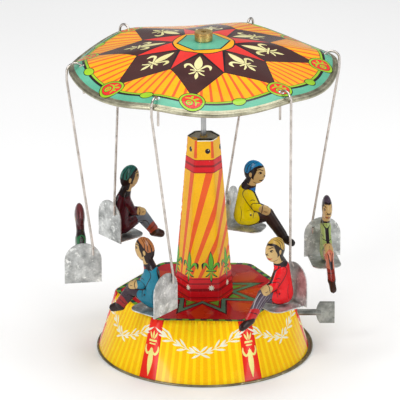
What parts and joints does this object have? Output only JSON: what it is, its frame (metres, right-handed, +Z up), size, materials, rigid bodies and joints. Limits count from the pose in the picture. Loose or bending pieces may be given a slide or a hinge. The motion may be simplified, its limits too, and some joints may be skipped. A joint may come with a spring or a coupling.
{
  "type": "clockwork tin swing carousel",
  "caption": "Wind-up tin swing carousel: printed hexagonal base and tower, lobed canopy, seated figures hung on wire hangers.",
  "frame": {"origin": "centre of the flat underside of the base, on the spindle axis", "axes": "+Z up along the spindle, +X towards the winding key, -Y is the side seen first"},
  "size_m": [0.1552, 0.1532, 0.1876],
  "materials": {
    "bottom_tin": "dark bronze lacquer on tinplate, worn at the rolled edge",
    "base_print": "glossy printed tinplate: yellow skirt with red bands, red top with a green star",
    "tower_print": "glossy printed tinplate with yellow and orange spiral stripes",
    "canopy_print": "glossy printed tinplate: dark kites, red and yellow fields, green border",
    "rim_metal": "dull brassed rolled rim",
    "brass": "satin turned or pressed brass",
    "steel": "plain bright steel",
    "wire_steel": "drawn steel wire",
    "spring_steel": "blued spring steel",
    "key_steel": "nickel-grey pressed steel",
    "seat_tin": "mottled hot-dipped tin",
    "rider_1": "printed tin, light green jacket and terracotta trousers",
    "rider_2": "printed tin, yellow jacket and dark trousers",
    "rider_3": "printed tin, maroon jacket and blue-grey trousers",
    "rider_4": "printed tin, dark green coat",
    "rider_5": "printed tin, teal-blue jacket and dark trousers",
    "rider_6": "printed tin, red jacket and grey-purple trousers"
  },
  "bodies": {
    "base": {"base_plate": "bottom_tin", "base_skirt": "base_print", "tower_shell": "tower_print", "tower_cap": "steel", "tower_bush": "brass", "footstep": "brass", "motor_plate_inner": "steel", "motor_plate_outer": "steel", "motor_pillars": "steel", "motor_rivets": "steel", "mainspring": "spring_steel"},
    "winder": {"winding_arbor": "steel", "ratchet_wheel": "steel", "key": "key_steel"},
    "great": {"great_wheel": "brass", "click_pin": "steel", "click_spring": "steel"},
    "pawl": {"click": "steel"},
    "second": {"second_arbor": "steel", "crown_wheel": "brass"},
    "canopy": {"spindle": "steel", "spindle_pinion": "brass", "canopy_collar": "steel", "canopy_shell": "canopy_print", "canopy_hem": "rim_metal", "canopy_washer": "brass", "canopy_nut": "brass"},
    "swing_1": {"hanger_1": "wire_steel", "seat_1": "seat_tin", "figure_1_inner": "rider_1", "figure_1_outer": "rider_1"},
    "swing_2": {"hanger_2": "wire_steel", "seat_2": "seat_tin", "figure_2_inner": "rider_2", "figure_2_outer": "rider_2"},
    "swing_3": {"hanger_3": "wire_steel", "seat_3": "seat_tin", "figure_3_inner": "rider_3", "figure_3_outer": "rider_3"},
    "swing_4": {"hanger_4": "wire_steel", "seat_4": "seat_tin", "figure_4_inner": "rider_4", "figure_4_outer": "rider_4"},
    "swing_5": {"hanger_5": "wire_steel", "seat_5": "seat_tin", "figure_5_inner": "rider_5", "figure_5_outer": "rider_5"},
    "swing_6": {"hanger_6": "wire_steel", "seat_6": "seat_tin", "figure_6_inner": "rider_6", "figure_6_outer": "rider_6"}
  },
  "joints": [
    {"name": "canopy_spin", "type": "hinge", "parent": "base", "child": "canopy", "pos_m": [0, 0, 0.12], "axis": [0, 0, 1], "continuous": true},
    {"name": "second_spin", "type": "hinge", "parent": "base", "child": "second", "pos_m": [0.02, 0, 0.00907], "axis": [1, 0, 0], "continuous": true},
    {"name": "great_spin", "type": "hinge", "parent": "base", "child": "great", "pos_m": [0.0316, -0.002, 0.021], "axis": [1, 0, 0], "continuous": true},
    {"name": "click_rock", "type": "hinge", "parent": "great", "child": "pawl", "pos_m": [0.0331, 0.0048, 0.021], "axis": [1, 0, 0], "range_deg": [0, 8]},
    {"name": "key_wind", "type": "hinge", "parent": "base", "child": "winder", "pos_m": [0.045, -0.002, 0.021], "axis": [1, 0, 0], "continuous": true},
    {"name": "swing_1_hook", "type": "hinge", "parent": "canopy", "child": "swing_1", "pos_m": [0.07083, 0.01046, 0.168], "axis": [0.1461, -0.9893, 0], "range_deg": [-3, 30]},
    {"name": "swing_2_hook", "type": "hinge", "parent": "canopy", "child": "swing_2", "pos_m": [0.02636, 0.06657, 0.168], "axis": [0.9298, -0.3681, 0], "range_deg": [-3, 30]},
    {"name": "swing_3_hook", "type": "hinge", "parent": "canopy", "child": "swing_3", "pos_m": [-0.04447, 0.05611, 0.168], "axis": [0.7837, 0.6211, 0], "range_deg": [-3, 30]},
    {"name": "swing_4_hook", "type": "hinge", "parent": "canopy", "child": "swing_4", "pos_m": [-0.07083, -0.01046, 0.168], "axis": [-0.1461, 0.9893, 0], "range_deg": [-3, 30]},
    {"name": "swing_5_hook", "type": "hinge", "parent": "canopy", "child": "swing_5", "pos_m": [-0.02636, -0.06657, 0.168], "axis": [-0.9298, 0.3681, 0], "range_deg": [-3, 30]},
    {"name": "swing_6_hook", "type": "hinge", "parent": "canopy", "child": "swing_6", "pos_m": [0.04447, -0.05611, 0.168], "axis": [-0.7837, -0.6211, 0], "range_deg": [-3, 30]}
  ],
  "couplings": [
    {"joint": "second_spin", "follows": "canopy_spin", "ratio": -0.33333},
    {"joint": "great_spin", "follows": "canopy_spin", "ratio": 0.066667}
  ]
}
